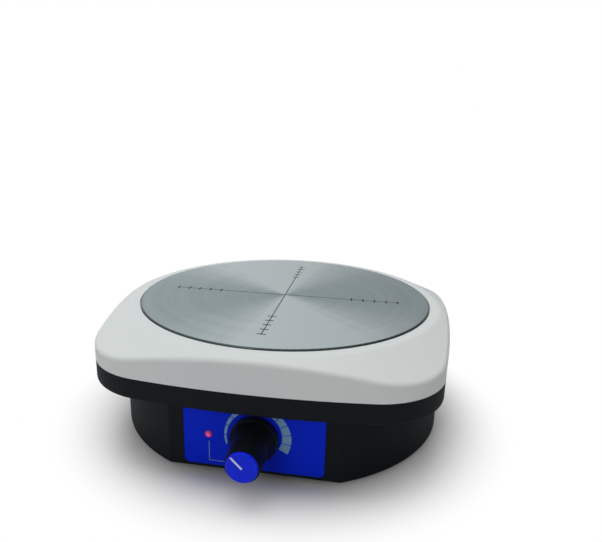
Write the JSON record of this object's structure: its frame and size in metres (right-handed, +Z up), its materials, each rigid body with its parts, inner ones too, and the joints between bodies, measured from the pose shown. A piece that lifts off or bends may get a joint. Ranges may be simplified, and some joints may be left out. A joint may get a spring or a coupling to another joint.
{
  "type": "magnetic stirrer",
  "caption": "Compact magnetic stirrer: round steel plate in a rounded-square cover over a drum housing, with a speed knob, blue label, motor, magnet rotor and DC inlet.",
  "frame": {"origin": "on the stirring axis, in the plane that the feet stand on", "axes": "+Z up along the stirring axis, -Y towards the control panel, +X to the right seen from the front"},
  "size_m": [0.176, 0.19, 0.066],
  "materials": {
    "white_plastic": "satin off-white moulding",
    "dark_plastic": "fine-grained anthracite moulding",
    "brushed_steel": "circular brushing",
    "black_gasket": "soft matt",
    "plated_steel": "zinc plated",
    "foot_rubber": "matt",
    "rating_foil": "silver foil, blank",
    "label_blue": "smooth printed film",
    "lamp_red": "clear coloured lens",
    "wire_black": "smooth sleeve",
    "pot_metal": "nickel plated",
    "pot_board": "phenolic",
    "knob_black": "fine matt",
    "cap_blue": "satin",
    "brass": "turned",
    "motor_steel": "drawn and plated",
    "motor_plastic": "moulded",
    "bronze": "sintered",
    "ferrite": "ground",
    "laminations": "stacked sheet",
    "copper": "enamelled winding",
    "carbon": "carbon",
    "magnet_nickel": "nickel plated",
    "carrier_plastic": "natural nylon",
    "board_green": "solder mask",
    "chip_black": "moulded",
    "capacitor_sleeve": "shrink sleeve",
    "connector_white": "nylon",
    "jack_black": "moulded"
  },
  "bodies": {
    "base": {"top_cover": "white_plastic", "cover_tray": "dark_plastic", "lower_housing": "dark_plastic", "top_plate": "brushed_steel", "plate_gasket": "black_gasket", "cover_screws": "plated_steel", "rubber_feet": "foot_rubber", "foot_screws": "plated_steel", "rating_plate": "rating_foil", "front_label": "label_blue", "status_lamp": "lamp_red", "lamp_leads": "wire_black", "potentiometer_case": "pot_metal", "potentiometer_back": "pot_board", "bush_nut": "plated_steel", "motor_can": "motor_steel", "motor_end_cap": "motor_plastic", "upper_bearing": "bronze", "lower_bearing": "bronze", "motor_terminals": "brass", "field_magnets": "ferrite", "motor_brushes": "carbon", "motor_bracket": "plated_steel", "motor_dampers": "foot_rubber", "bracket_screws": "plated_steel", "motor_screws": "plated_steel", "control_board": "board_green", "board_screws": "plated_steel", "board_connector": "connector_white", "board_capacitors": "capacitor_sleeve", "board_chips": "chip_black", "board_regulator": "chip_black", "motor_leads": "wire_black", "inlet_leads": "wire_black", "power_inlet": "jack_black", "inlet_pin": "plated_steel", "inlet_nut": "plated_steel"},
    "speed_knob": {"knob_body": "knob_black", "knob_cap": "cap_blue", "knob_collet": "brass", "collet_nut": "brass", "control_shaft": "plated_steel", "control_wiper": "pot_board"},
    "rotor": {"motor_shaft": "plated_steel", "armature_core": "laminations", "armature_windings": "copper", "commutator": "copper", "rotor_hub": "brass", "hub_set_screw": "plated_steel", "hub_screws": "plated_steel", "rotor_yoke": "plated_steel", "magnet_carrier": "carrier_plastic", "drive_magnets": "magnet_nickel"}
  },
  "joints": [
    {"name": "knob_turn", "type": "hinge", "parent": "base", "child": "speed_knob", "pos_m": [0.0008, -0.0885, 0.0217], "axis": [0, 1, 0], "range_deg": [-105, 195]},
    {"name": "rotor_spin", "type": "hinge", "parent": "base", "child": "rotor", "pos_m": [0, 0, 0.05], "axis": [0, 0, 1], "continuous": true}
  ]
}
